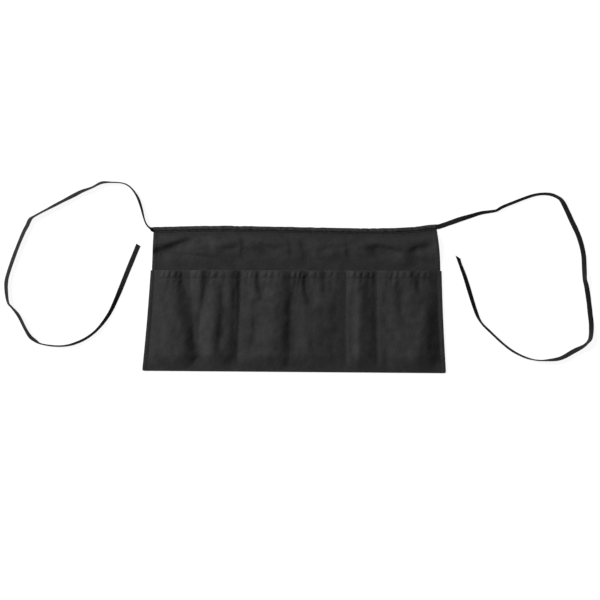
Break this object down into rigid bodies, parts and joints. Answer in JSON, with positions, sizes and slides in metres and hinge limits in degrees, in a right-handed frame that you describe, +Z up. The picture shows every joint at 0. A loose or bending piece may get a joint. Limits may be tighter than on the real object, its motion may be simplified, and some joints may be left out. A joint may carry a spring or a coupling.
{
  "type": "waist apron",
  "caption": "Short waist apron lying flat: a cloth panel with a row of open-topped pockets, a folded waistband and loose tape ties.",
  "frame": {"origin": "on the surface the apron lies on, under the middle of its cloth and waistband without the ties", "axes": "+X along the waistband to the right as seen from the front, +Y from the hem to the waistband, +Z up out of the front of the apron"},
  "size_m": [1.1768, 0.3822, 0.0132],
  "materials": {
    "apron_cloth": "matte woven poly-cotton twill",
    "band_tape": "matte folded woven tape"
  },
  "bodies": {
    "root": {"body_panel": "apron_cloth", "pocket_panel": "apron_cloth", "waistband": "band_tape", "tie_left": "band_tape", "tie_right": "band_tape"}
  },
  "joints": []
}
